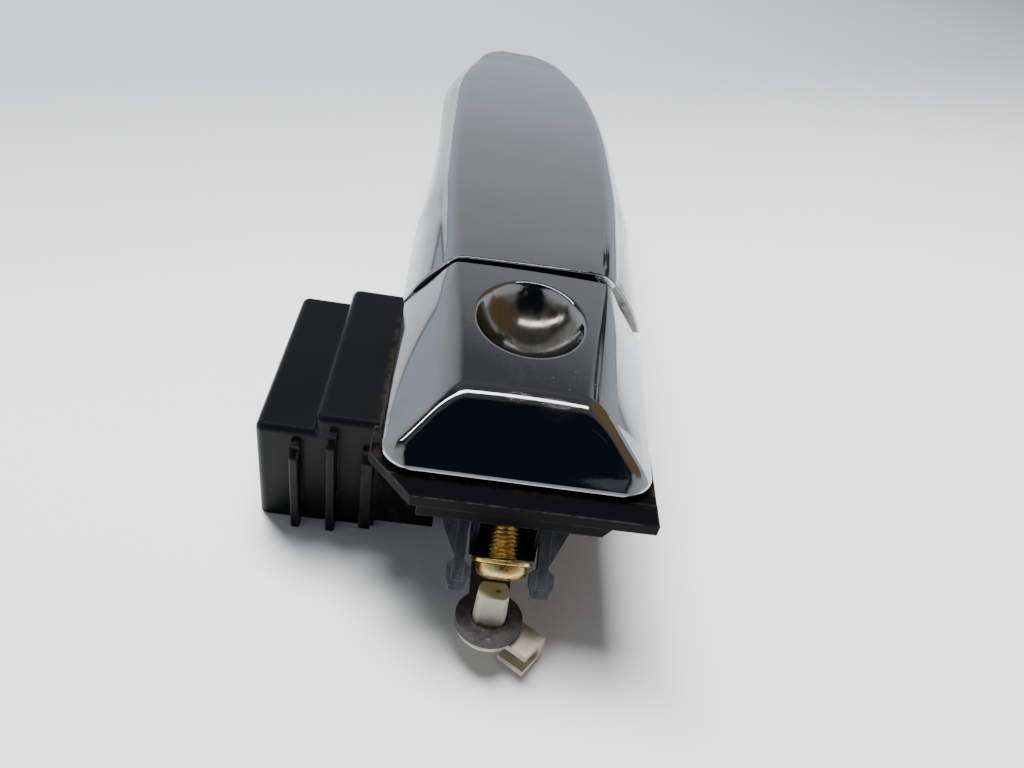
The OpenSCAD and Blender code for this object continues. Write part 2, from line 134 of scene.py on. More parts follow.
def prism(bm, outline, x0, x1, round_by):
    """A bar whose side outline is given in y and z, with rounded edges."""
    low = [bm.verts.new((x0 * MM, y * MM, z * MM)) for y, z in outline]
    high = [bm.verts.new((x1 * MM, y * MM, z * MM)) for y, z in outline]
    n = len(outline)
    faces = [bm.faces.new(low), bm.faces.new(high[::-1])]
    faces += [bm.faces.new((low[i], high[i], high[(i + 1) % n], low[(i + 1) % n])) for i in range(n)]
    rounded_edges(bm, list({e for f in faces for e in f.edges}), round_by, 3)


# ---------- material helpers ----------
class Maker:
    """One material's node tree, with short calls for the nodes it needs.

    Texture scales are per metre.
    """

    def __init__(self, name):
        self.mat = bpy.data.materials.new(name)
        self.mat.use_nodes = True
        self.tree = self.mat.node_tree
        self.bsdf = self.tree.nodes["Principled BSDF"]
        self.coord = self.add("ShaderNodeTexCoord").outputs["Object"]

    def add(self, kind, **values):
        node = self.tree.nodes.new(kind)
        for key, value in values.items():
            setattr(node, key, value)
        return node

    def link(self, a, b):
        self.tree.links.new(a, b)

    def put(self, socket, value):
        """A link from another node's output, or a constant on the socket itself."""
        if isinstance(value, bpy.types.NodeSocket):
            self.link(value, socket)
        else:
            socket.default_value = value

    def set(self, **sockets):
        """Values for the shader's own sockets, with _ for a space in a name."""
        for key, value in sockets.items():
            self.put(self.bsdf.inputs[key.replace("_", " ")], value)

    def stretch(self, scale):
        """Object coordinates scaled along x, y and z, so that a texture runs in streaks."""
        node = self.add("ShaderNodeMapping")
        self.link(self.coord, node.inputs["Vector"])
        node.inputs["Scale"].default_value = scale
        return node.outputs["Vector"]

    def noise(self, scale, detail=4.0, rough=0.55, distort=0.0, vector=None):
        node = self.add("ShaderNodeTexNoise")
        self.link(vector or self.coord, node.inputs["Vector"])
        node.inputs["Scale"].default_value = scale
        node.inputs["Detail"].default_value = detail
        node.inputs["Roughness"].default_value = rough
        node.inputs["Distortion"].default_value = distort
        return node.outputs["Fac"]

    def cells(self, scale):
        """The distance to the nearest of many scattered points."""
        node = self.add("ShaderNodeTexVoronoi")
        self.link(self.coord, node.inputs["Vector"])
        node.inputs["Scale"].default_value = scale
        return node.outputs["Distance"]

    def span(self, value, low, high, to_low=0.0, to_high=1.0):
        """A smooth step from to_low at low to to_high at high."""
        node = self.add("ShaderNodeMapRange", interpolation_type="SMOOTHSTEP")
        self.link(value, node.inputs["Value"])
        node.inputs["From Min"].default_value = low
        node.inputs["From Max"].default_value = high
        node.inputs["To Min"].default_value = to_low
        node.inputs["To Max"].default_value = to_high
        return node.outputs["Result"]

    def math(self, kind, a, b=0.0):
        node = self.add("ShaderNodeMath", operation=kind)
        self.put(node.inputs[0], a)
        self.put(node.inputs[1], b)
        return node.outputs[0]

    def product(self, first, *others):
        for other in others:
            first = self.math("MULTIPLY", first, other)
        return first

    def dots(self, scale, size, patches, low, high):
        """Round dots that show only inside the patches of a broad noise."""
        spots = self.span(self.cells(scale), 0.0, size, 1.0, 0.0)
        return self.product(spots, self.span(self.noise(patches, 2), low, high))

    def mix(self, fac, a, b):
        node = self.add("ShaderNodeMix", data_type="RGBA")
        self.put(node.inputs["Factor"], fac)
        for socket, value in ((node.inputs[6], a), (node.inputs[7], b)):
            self.put(socket, (*value, 1.0) if isinstance(value, tuple) else value)
        return node.outputs[2]

    def axes(self):
        """The x, y and z of the object coordinates, in metres."""
        split = self.add("ShaderNodeSeparateXYZ")
        self.link(self.coord, split.inputs["Vector"])
        return split.outputs[0], split.outputs[1], split.outputs[2]

    def edge_wear(self, radius=0.5):
        """1 along the edges, where a rounded normal leaves the true one."""
        bevel = self.add("ShaderNodeBevel", samples=4)
        bevel.inputs["Radius"].default_value = radius * MM
        dot = self.add("ShaderNodeVectorMath", operation="DOT_PRODUCT")
        self.link(bevel.outputs["Normal"], dot.inputs[0])
        self.link(self.add("ShaderNodeNewGeometry").outputs["True Normal"], dot.inputs[1])
        return self.span(dot.outputs["Value"], 0.995, 0.93)

    def bump(self, *layers):
        """Layers of (height, strength, depth in mm), the first one deepest."""
        normal = None
        for height, strength, depth in layers:
            node = self.add("ShaderNodeBump")
            node.inputs["Strength"].default_value = strength
            node.inputs["Distance"].default_value = depth * MM
            self.link(height, node.inputs["Height"])
            if normal is not None:
                self.link(normal, node.inputs["Normal"])
            normal = node.outputs["Normal"]
        self.link(normal, self.bsdf.inputs["Normal"])


# ---------- materials ----------
DISH_Y, DISH_R, DISH_DEPTH = 35.4, 12.0, 7.0  # the round dish in the end cap


def chrome_material():
    m = Maker("chrome_plate")
    clean, hazed = (0.405, 0.414, 0.432), (0.385, 0.392, 0.402)
    pale_speck, dark_pit = (0.80, 0.80, 0.78), (0.10, 0.095, 0.09)
    # the next two colours are the dish's painted shade and painted brown reflection
    dish_painted_shade, dish_painted_brown = (0.25, 0.245, 0.225), (0.165, 0.155, 0.135)
    haze = m.noise(55, 4, 0.6)
    specks = m.dots(420, 0.085, 38, 0.60, 0.68)
    tint = m.mix(m.span(haze, 0.45, 0.75), clean, hazed)
    tint = m.mix(specks, tint, pale_speck)
    tint = m.mix(m.dots(650, 0.07, 90, 0.57, 0.66), tint, dark_pit)
    # the dish is duller than the rest, and painted darker and browner in streaks: painted shade in
    # its hollow and a painted brown reflection in its wall
    x, y, _ = m.axes()
    along = m.math("SUBTRACT", y, DISH_Y * MM)
    away = m.math("SQRT", m.math("ADD", m.product(x, x), m.product(along, along)))
    dish = m.span(away, (DISH_R - 0.7) * MM, (DISH_R - 1.8) * MM)
    dish_streaks = m.noise(500, 4, 0.6, vector=m.stretch((1.0, 0.12, 0.3)))
    dish_painted_tint = m.mix(m.span(dish_streaks, 0.35, 0.7), dish_painted_shade, dish_painted_brown)
    m.set(Base_Color=m.mix(m.product(dish, 0.9), tint, dish_painted_tint), Metallic=1.0)
    rough = m.math("ADD", m.span(haze, 0.3, 0.8, 0.035, 0.085), m.product(specks, 0.5))
    m.set(Roughness=m.math("ADD", rough, m.product(dish, m.span(dish_streaks, 0.3, 0.8, 0.08, 0.20))))
    waves = m.add("ShaderNodeTexWave", wave_type="BANDS", bands_direction="X")
    m.link(m.stretch((1.0, 0.35, 0.6)), waves.inputs["Vector"])
    for key, value in (("Scale", 900), ("Distortion", 26), ("Detail", 3), ("Detail Scale", 1.4)):
        waves.inputs[key].default_value = value
    scratches = m.product(m.span(waves.outputs["Fac"], 0.985, 1.0),
                          m.span(m.noise(60, 2), 0.52, 0.66))
    brushing = m.noise(9000, 2, 0.5, vector=m.stretch((1.0, 0.06, 1.0)))
    m.bump((m.noise(28, 2, 0.4), 0.05, 0.6), (m.noise(620, 3, 0.6), 0.06, 0.08),
           (brushing, 0.03, 0.02), (scratches, 0.25, 0.02), (specks, 0.4, 0.06))
    return m.mat


def raw_plastic_material():
    """The unplated plastic that shows on the grip's near edge."""
    m = Maker("raw_shell_edge")
    bare, dirty = (0.47, 0.46, 0.43), (0.20, 0.185, 0.16)
    m.set(Base_Color=m.mix(m.span(m.noise(420, 4), 0.5, 0.75), bare, dirty), Roughness=0.55)
    m.bump((m.noise(2600, 3), 0.3, 0.05))
    return m.mat


def black_plastic(name, base, worn, dirt_mask=None, grain=0.22, rough=(0.30, 0.42), shine=0.11):
    """Moulded black plastic, paler on its edges and where it's rubbed, with dust and dirt."""
    m = Maker(name)
    pale_dust, brown_dirt = (0.20, 0.19, 0.17), (0.019, 0.0155, 0.0115)
    broad = m.noise(40, 3, 0.5)
    tone = m.mix(m.span(broad, 0.3, 0.75), base, tuple(c * 1.18 for c in base))
    wear = m.product(m.edge_wear(), m.span(m.noise(300, 4, 0.6), 0.36, 0.60))
    tone = m.mix(m.product(wear, 0.8), tone, worn)
    rub = m.product(m.span(m.noise(1500, 3, 0.7, vector=m.stretch((1, 0.16, 1))), 0.68, 0.78),
                    m.span(m.noise(45, 2), 0.52, 0.66))
    tone = m.mix(m.product(rub, 0.4), tone, worn)
    dust = m.dots(1100, 0.06, 120, 0.58, 0.68)
    tone = m.mix(m.product(dust, 0.55), tone, pale_dust)
    if dirt_mask:
        tone = m.mix(dirt_mask(m), tone, brown_dirt)
    m.set(Base_Color=tone, Roughness=m.span(broad, 0.25, 0.8, *rough), Specular_IOR_Level=shine)
    m.bump((m.noise(110, 2), 0.06, 0.3), (m.noise(5200, 3, 0.6), grain, 0.04))
    return m.mat


def housing_dirt(m):
    """1 where brown dirt has gathered: on the top by the cap, and on the near wall's right."""
    x, y, z = m.axes()
    ragged = m.noise(330, 5, 0.65)
    near_cap = m.span(m.math("ADD", x, m.product(ragged, 5 * MM)), -27.1 * MM, -25.4 * MM)
    top = m.product(near_cap, m.span(z, -10 * MM, -2 * MM), m.span(ragged, 0.36, 0.52))
    front = m.product(m.span(x, -34 * MM, -29 * MM), m.span(y, 13.5 * MM, 11 * MM),
                      m.span(z, -30 * MM, -12 * MM), m.span(ragged, 0.40, 0.58))
    return m.product(m.math("MAXIMUM", top, front), 0.75)


def carrier_dirt(m):
    """1 where brown dirt lies on the carrier: along its left side, and in spots near the cap."""
    x, y, _ = m.axes()
    ragged = m.noise(380, 5, 0.65)
    left = m.product(m.span(x, -25.5 * MM, -28.5 * MM), m.span(y, -3 * MM, 4 * MM),
                     m.span(y, 60 * MM, 40 * MM), m.span(ragged, 0.42, 0.60))
    spots = m.product(m.span(y, -1.6 * MM, 0.2 * MM), m.span(y, 55 * MM, 40 * MM),
                      m.span(ragged, 0.50, 0.62))
    return m.product(m.math("MAXIMUM", left, spots), 0.6)


def grey_retainer_material():
    m = Maker("grey_retainer")
    dark, light = (0.026, 0.029, 0.034), (0.052, 0.056, 0.064)
    pale_speck, worn = (0.17, 0.175, 0.185), (0.16, 0.165, 0.175)
    speck = m.noise(1900, 4, 0.7)
    streak = m.noise(700, 4, 0.6, vector=m.stretch((1, 0.3, 0.3)))
    tone = m.mix(m.span(streak, 0.35, 0.7), dark, light)
    patches = m.span(m.noise(160, 2), 0.40, 0.6)
    tone = m.mix(m.product(m.span(speck, 0.60, 0.70), patches), tone, pale_speck)
    tone = m.mix(m.product(m.edge_wear(0.3), 0.55), tone, worn)
    m.set(Base_Color=tone, Roughness=m.span(speck, 0.3, 0.7, 0.38, 0.56))
    m.bump((m.noise(420, 3), 0.15, 0.2), (speck, 0.30, 0.06))
    return m.mat


def yellow_zinc_material():
    """Yellow chromate on zinc, which shifts to green and pink, with brown grime."""
    m = Maker("yellow_zinc")
    gold, yellow, green = (0.52, 0.33, 0.10), (0.66, 0.50, 0.19), (0.50, 0.50, 0.22)
    pink, brown_grime = (0.60, 0.34, 0.30), (0.055, 0.036, 0.018)
    hue = m.noise(260, 3, 0.6)
    tone = m.mix(m.span(hue, 0.36, 0.52), gold, yellow)
    tone = m.mix(m.span(hue, 0.54, 0.66), tone, green)
    tone = m.mix(m.product(m.span(m.noise(420, 2), 0.62, 0.72), 0.6), tone, pink)
    grime = m.product(m.span(m.noise(1300, 4, 0.65), 0.50, 0.68),
                      m.span(m.noise(150, 2), 0.36, 0.58))
    tone = m.mix(m.product(grime, 0.85), tone, brown_grime)
    m.set(Base_Color=tone, Metallic=m.span(grime, 0.0, 1.0, 1.0, 0.3))
    m.set(Roughness=m.span(m.noise(900, 3), 0.3, 0.7, 0.24, 0.42))
    m.bump((m.noise(2200, 3), 0.16, 0.06))
    return m.mat


def steel_material(name, tone_a, tone_b, rough=(0.26, 0.42), brushed=(1, 1, 1)):
    m = Maker(name)
    brown_stain = (0.12, 0.09, 0.06)
    streak = m.noise(1300, 4, 0.6, vector=m.stretch(brushed))
    tone = m.mix(m.span(m.noise(90, 3), 0.35, 0.7), tone_a, tone_b)
    tone = m.mix(m.product(m.span(m.noise(240, 4), 0.60, 0.74), 0.5), tone, brown_stain)
    m.set(Base_Color=tone, Metallic=1.0, Roughness=m.span(streak, 0.3, 0.7, *rough))
    m.bump((streak, 0.15, 0.04))
    return m.mat


def weight_material():
    """The cast metal of the counterweight."""
    m = Maker("weight_metal")
    dark, light = (0.17, 0.17, 0.18), (0.30, 0.30, 0.31)
    cast = m.noise(900, 5, 0.7)
    m.set(Base_Color=m.mix(m.span(cast, 0.35, 0.65), dark, light),
          Metallic=0.8, Roughness=m.span(cast, 0.3, 0.7, 0.5, 0.7))
    m.bump((cast, 0.5, 0.12))
    return m.mat


def rubber_material():
    m = Maker("rubber")
    clean, dusty = (0.018, 0.018, 0.018), (0.07, 0.066, 0.06)
    dust = m.noise(800, 4, 0.65)
    m.set(Base_Color=m.mix(m.span(dust, 0.45, 0.75), clean, dusty),
          Roughness=m.span(dust, 0.3, 0.7, 0.72, 0.9))
    m.bump((m.noise(3000, 3), 0.35, 0.06))
    return m.mat


def crank_material():
    m = Maker("crank_plastic")
    clean, dusty, pale_speck = (0.030, 0.029, 0.029), (0.068, 0.066, 0.063), (0.14, 0.135, 0.125)
    dust = m.noise(620, 5, 0.7)
    tone = m.mix(m.span(dust, 0.36, 0.64), clean, dusty)
    specks = m.product(m.span(m.noise(1500, 3), 0.60, 0.70), m.span(dust, 0.4, 0.6))
    m.set(Base_Color=m.mix(specks, tone, pale_speck),
          Roughness=m.span(dust, 0.3, 0.7, 0.62, 0.85))
    m.bump((dust, 0.22, 0.12), (m.noise(3800, 3, 0.6), 0.35, 0.05))
    return m.mat


def nylon_material():
    """Cream nylon, stained brown in spots and streaks and a little darker near its foot."""
    m = Maker("nylon")
    cream, darker = (0.50, 0.48, 0.385), (0.42, 0.395, 0.30)
    stained, streaked, lower_tone = (0.26, 0.20, 0.10), (0.33, 0.27, 0.16), (0.36, 0.31, 0.20)
    cloud = m.noise(260, 4, 0.6)
    stain = m.product(m.span(m.noise(420, 5, 0.68, 0.4), 0.55, 0.72),
                      m.span(m.noise(130, 2), 0.40, 0.62))
    streaks = m.span(m.noise(900, 4, 0.6, vector=m.stretch((1, 1, 0.2))), 0.56, 0.70)
    foot = m.span(m.axes()[2], -24.5 * MM, -26.2 * MM)
    tone = m.mix(m.span(cloud, 0.3, 0.7), cream, darker)
    tone = m.mix(m.product(stain, 0.8), tone, stained)
    tone = m.mix(m.product(streaks, 0.36), tone, streaked)
    # darker and browner towards the foot
    tone = m.mix(m.product(foot, m.span(cloud, 0.48, 0.62), 0.5), tone, lower_tone)
    m.set(Base_Color=tone, Roughness=m.span(cloud, 0.3, 0.7, 0.38, 0.58))
    m.set(Subsurface_Weight=0.12, Subsurface_Scale=2 * MM)
    m.bump((m.noise(340, 3), 0.15, 0.2), (m.noise(3000, 2), 0.12, 0.04))
    return m.mat


def floor_material():
    """The table's white sheet, painted grey towards the far side: painted shade for the light that
    falls off there.
    """
    m = Maker("table_sheet")
    white, whiter, far_painted_shade = (0.80, 0.812, 0.83), (0.83, 0.84, 0.85), (0.36, 0.37, 0.385)
    weave = m.noise(1400, 3, 0.6)
    near = m.mix(m.span(m.noise(9, 3), 0.3, 0.7), white, whiter)
    x, y, _ = m.axes()
    reach = m.math("SUBTRACT", y, m.product(x, 0.5))
    # the far grey is painted shade, not the sheet's own colour
    m.set(Base_Color=m.mix(m.span(reach, 50 * MM, 340 * MM), near, far_painted_shade),
          Roughness=m.span(weave, 0.3, 0.7, 0.6, 0.75))
    m.bump((m.noise(60, 3), 0.12, 0.6), (weave, 0.16, 0.08))
    return m.mat


MAT = {
    "chrome": chrome_material(),
    "raw": raw_plastic_material(),
    "housing": black_plastic("black_housing", (0.0036, 0.0038, 0.0044), (0.034, 0.035, 0.038),
                             housing_dirt),
    # the carrier's black is set darker than the housing's: its own black plastic, with painted shade
    # for the shadow under the cap
    "carrier": black_plastic("black_carrier_with_painted_shade", (0.0020, 0.0021, 0.0024), (0.050, 0.051, 0.053),
                             carrier_dirt, grain=0.35, rough=(0.38, 0.52), shine=0.06),
    "liner": black_plastic("black_liner", (0.011, 0.011, 0.0115), (0.05, 0.05, 0.05)),
    "retainer": grey_retainer_material(),
    "zinc": yellow_zinc_material(),
    "steel": steel_material("bright_zinc", (0.33, 0.335, 0.35), (0.42, 0.43, 0.445)),
    "strap": steel_material("strap_steel", (0.34, 0.35, 0.37), (0.46, 0.47, 0.49),
                            rough=(0.34, 0.52), brushed=(1, 0.1, 1)),
    "weight": weight_material(),
    "rubber": rubber_material(),
    "crank": crank_material(),
    "nylon": nylon_material(),
    "floor": floor_material(),
}


def wear_material(piece, *keys):
    piece.data.materials.clear()
    for key in keys:
        piece.data.materials.append(MAT[key])


# ---------- the chrome end cap ----------
CAP_LEN = 51.6
CAP_HALF_NEAR, CAP_HALF_FAR = 27, 28.7
RIM_Z = 1.0  # the lower edge of the cap's wall
LIP_Z = 1.75  # the lower edge of the sloping facets
CORNER = 6.5
# the flat top: half its width, y and z where it starts, then half its width and z at the far end
TOP_HALF_NEAR, TOP_Y, TOP_Z_NEAR = 14.6, 11.8, 12.5
TOP_HALF_FAR, TOP_Z_FAR = 18.6, 15.7
TOP_RISE = (TOP_Z_FAR - TOP_Z_NEAR) / (CAP_LEN - TOP_Y)
CAP_WALL = 2.6
OUT_OF_THE_WAY = 60  # a height that soft_min never picks
# how far the edges are rounded: top to sides, top to front, all round the outline, and the dish's
SIDE_SOFT, FRONT_SOFT, OUTLINE_SOFT, DISH_SOFT = 3.0, 2.4, 1.0, 0.4
CAP_CROWN, CROWN_HALF = 0.35, 17


def cap_half(y):
    return CAP_HALF_NEAR + (CAP_HALF_FAR - CAP_HALF_NEAR) * y / CAP_LEN


def cap_surface(x, y):
    """Height of the cap's outer skin, with soft edges between its facets and the dish."""
    t = np.clip((y - TOP_Y) / (CAP_LEN - TOP_Y), 0, 1)
    top_half = TOP_HALF_NEAR + (TOP_HALF_FAR - TOP_HALF_NEAR) * t
    top_z = TOP_Z_NEAR + (TOP_Z_FAR - TOP_Z_NEAR) * t
    slope = (top_z - LIP_Z) / (cap_half(np.maximum(y, TOP_Y)) - top_half)
    top = TOP_Z_NEAR + TOP_RISE * (y - TOP_Y) + CAP_CROWN * (1 - (x / CROWN_HALF) ** 2)
    in_x = cap_half(y) - np.abs(x)
    side = LIP_Z + slope * in_x + 0.25
    front = LIP_Z + (TOP_Z_NEAR - LIP_Z) / TOP_Y * y + 0.2
    z = soft_min(top, side, SIDE_SOFT)
    z = soft_min(z, front, FRONT_SOFT)
    # how far a point is inside the outline with its round near corners
    far_in = (CORNER + np.clip(np.minimum(in_x, y) - CORNER, 0, None)
              - np.hypot(np.clip(CORNER - in_x, 0, None), np.clip(CORNER - y, 0, None)))
    z = soft_min(z, LIP_Z + 1.3 * far_in, OUTLINE_SOFT)
    # the dish is part of a ball whose centre stands over the sloping top
    ball = (DISH_R ** 2 + DISH_DEPTH ** 2) / (2 * DISH_DEPTH)
    rim = TOP_Z_NEAR + TOP_RISE * (DISH_Y - TOP_Y) + 0.3
    d2 = x ** 2 + (y - DISH_Y) ** 2
    bowl = ball - DISH_DEPTH - np.sqrt(np.maximum(ball ** 2 - d2, 1e-6))
    deep = np.where(d2 < ball ** 2 - 1, bowl, OUT_OF_THE_WAY)
    return soft_min(z, rim + TOP_RISE * (y - DISH_Y) + deep, DISH_SOFT)


def moved_in(p, wall):
    """An outline point moved in by a wall's thickness."""
    x, y = p[0], p[1]
    half = cap_half(y)
    return x * ((half - wall) / half), wall + y * (CAP_LEN - 2 * wall) / CAP_LEN


def cap_outer_skin():
    """The outer skin's points, row by row from the near end, and how many rows and columns."""
    bend = CORNER * (1 - np.cos(np.linspace(0, math.pi / 2, 44)))
    ys = np.concatenate([bend[:-1], np.linspace(CORNER, CAP_LEN, 160)])
    # columns as parts of the half width, close together where the skin turns down at its edge
    edge = 1 - np.array([0.0, 0.05, 0.11, 0.18, 0.26, 0.36, 0.5, 0.7]) / CAP_HALF_NEAR
    flat = 26.05 / CAP_HALF_NEAR
    us = np.concatenate([-edge, np.linspace(-flat, flat, 211), edge[::-1]])
    turn_down, turn_width, drawn_in = 0.3, 0.35, 1.7
    rows = []
    for y in ys:
        half = cap_half(y)
        if y < CORNER:
            half -= CORNER - math.sqrt(max(CORNER ** 2 - (CORNER - y) ** 2, 0))
        x = us * half
        z = cap_surface(x, np.full(len(us), y))
        from_edge = np.minimum(half - np.abs(x), y)
        z = z - turn_down * np.clip(1 - from_edge / turn_width, 0, 1) ** 2
        # the far edge is drawn in towards the right
        back = drawn_in * smooth_step(15, 24, x) * smooth_step(36, CAP_LEN, y)
        rows.append(np.stack([x, y - back, z - 0.25 * back], 1))
    return np.concatenate(rows), len(ys), len(us)


def build_cap():
    outer, rows, cols = cap_outer_skin()
    verts = outer.tolist()
    faces = grid_faces(rows, cols)
    last_r, last_c = rows - 1, cols - 1
    # the loop round the outline: near row, right side, far row, left side
    loop = ([c for c in range(cols)] + [r * cols + last_c for r in range(1, rows)]
            + [last_r * cols + c for c in range(last_c - 1, -1, -1)]
            + [r * cols for r in range(last_r - 1, 0, -1)])
    outline = [outer[i] for i in loop]
    n = len(loop)

    def ring(previous, wall, height):
        """A ring of points in from the outline, joined to the ring before it."""
        base = len(verts)
        for p in outline:
            verts.append([*moved_in(p, wall), height(p[2])])
        for i in range(n):
            j = (i + 1) % n
            faces.append((previous[i], base + i, base + j, previous[j]))
        return [base + i for i in range(n)]

    # the lower edge, from outside to inside, then up to the inner skin
    previous = loop
    for wall, z in ((0.0, RIM_Z + 0.25), (0.18, RIM_Z), (2.1, RIM_Z), (2.3, RIM_Z + 0.3)):
        previous = ring(previous, wall, lambda top: min(z, top - 0.05))
    previous = ring(previous, CAP_WALL, lambda top: max(top - CAP_WALL, RIM_Z + 0.5))
    # the inner skin is a coarser copy of the outer one, lowered by the wall
    centre = len(verts)
    inner_rows = list(range(0, rows - 6, 12)) + [last_r]
    inner_cols = list(range(0, cols - 5, 10)) + [last_c]
    wide, deep = len(inner_cols), len(inner_rows)
    inner_wall = CAP_WALL + 0.1
    for r in inner_rows:
        for c in inner_cols:
            p = outer[r * cols + c]
            verts.append([*moved_in(p, inner_wall), max(p[2] - inner_wall, RIM_Z + 0.45)])
    faces += grid_faces(deep, wide, centre, flip=True)
    # where the coarse skin's edge points lie on the fine loop, and their numbers
    marks = [(inner_cols[k], k) for k in range(wide)]
    marks += [(last_c + inner_rows[k], k * wide + wide - 1) for k in range(1, deep)]
    marks += [(2 * last_c + last_r - inner_cols[k], (deep - 1) * wide + k)
              for k in range(wide - 2, -1, -1)]
    marks += [(2 * last_c + 2 * last_r - inner_rows[k], k * wide) for k in range(deep - 2, 0, -1)]
    for (at, here), (to, there) in zip(marks, marks[1:] + [(n, 0)]):
        fine = [previous[k % n] for k in range(to, at - 1, -1)]
        faces.append((centre + here, centre + there, *fine))
    piece = new_piece("cap_chrome", verts, faces, "carrier", "cap_shell", sharp=50)
    wear_material(piece, "chrome")


build_cap()


# ---------- the chrome grip ----------
GRIP_WALL, GRIP_CROWN = 2.1, 0.3
HOLLOW_END = 216  # the inner skin stops here, and the tip is solid
# stations along y: the top's left and right half widths and its height, then the lower edge's
GRIP = np.array([
    (53.0, 18.6, 18.6, 16.1, 29.0, 29.2, 1.0), (64, 19.4, 19.6, 16.7, 29.3, 29.8, 1.0),
    (76, 20.6, 20.4, 17.0, 29.6, 30.0, 1.0), (86, 21.5, 20.9, 17.1, 29.5, 29.4, 2.8),
    (95, 22.2, 21.2, 17.0, 28.5, 28.4, 5.6), (110, 23.0, 21.4, 16.7, 28.2, 27.4, 6.0),
    (130, 23.8, 21.3, 15.8, 28.5, 26.6, 6.0), (150, 24.0, 20.6, 14.3, 29.2, 25.4, 6.0),
    (166, 24.0, 19.3, 12.7, 29.8, 24.2, 5.2), (178, 23.8, 18.2, 11.3, 30.0, 23.2, 3.2),
    (190, 23.0, 16.6, 9.7, 28.4, 21.4, 2.6), (200, 21.9, 14.8, 8.2, 25.8, 19.0, 2.6),
    (208, 20.6, 12.6, 7.0, 23.2, 16.2, 2.7), (216, 18.8, 9.4, 6.0, 20.4, 11.8, 3.2),
    (222, 16.0, 5.4, 5.2, 16.8, 7.0, 3.7), (226, 12.4, 0.6, 4.7, 12.8, 1.2, 4.1)])
GRIP_NEAR, GRIP_FAR = GRIP[0, 0], GRIP[-1, 0]


def spline(xs, ys, x):
    """A cubic through the stations that never overshoots between them."""
    h, d = np.diff(xs), np.diff(ys) / np.diff(xs)
    m = np.empty(len(xs))
    m[0], m[-1] = d[0], d[-1]
    for i in range(1, len(xs) - 1):
        if d[i - 1] * d[i] <= 0:
            m[i] = 0
        else:
            w1, w2 = 2 * h[i] + h[i - 1], h[i] + 2 * h[i - 1]
            m[i] = (w1 + w2) / (w1 / d[i - 1] + w2 / d[i])
    k = np.clip(np.searchsorted(xs, x) - 1, 0, len(xs) - 2)
    t = (x - xs[k]) / h[k]
    return ((1 + 2 * t) * (1 - t) ** 2 * ys[k] + t * (1 - t) ** 2 * h[k] * m[k]
            + t * t * (3 - 2 * t) * ys[k + 1] + t * t * (t - 1) * h[k] * m[k + 1])


def grip_profile(s, wall, crown):
    """One cross-section from the left lower edge over the top to the right lower edge."""
    top_l, top_r, top_z, low_l, low_r, low_z = s
    # the left and right lower edges, and the left and right corners of the top
    lb = np.array([-low_l + wall * 1.1, low_z])
    rb = np.array([low_r - wall * 1.1, low_z])
    lt = np.array([-top_l + wall * 0.6, top_z - wall])
    rt = np.array([top_r - wall * 0.6, top_z - wall])
    side = top_z - wall - low_z
    reach = min(3.4, (rt[0] - lt[0]) * 0.32, max(side, 0.1) * 0.62)

    def curve(a, b, c, n):
        """The corner b between a and c, rounded."""
        p = b + reach * (a - b) / np.linalg.norm(a - b)
        q = b + reach * (c - b) / np.linalg.norm(c - b)
        t = np.linspace(0, 1, n)[:, None]
        return (1 - t) ** 2 * p + 2 * t * (1 - t) * b + t * t * q

    left = curve(lb, lt, rt, 12)
    right = curve(lt, rt, rb, 12)

    def flank(a, b, n):
        """From a to b with a slight outward swell."""
        t = np.linspace(0, 1, n)[:, None]
        along = b - a
        out = np.array([-along[1], along[0]]) / max(np.linalg.norm(along), 1e-6)
        swell = 0.055 * np.linalg.norm(along)
        return a + along * t + out * swell * np.sin(math.pi * t)

    pts = np.concatenate([
        flank(lb, left[0], 12)[:-1], left,
        left[-1] + (right[0] - left[-1]) * np.linspace(0, 1, 26)[1:-1, None], right,
        flank(right[-1], rb, 12)[1:]])
    mid = (lt[0] + rt[0]) / 2
    wide = max(rb[0] - lb[0], 1) / 2
    lift = crown * np.clip(1 - ((pts[:, 0] - mid) / wide) ** 2, 0, 1)
    pts[:, 1] += lift * np.clip((pts[:, 1] - low_z) / max(side, 0.1), 0, 1)
    return pts


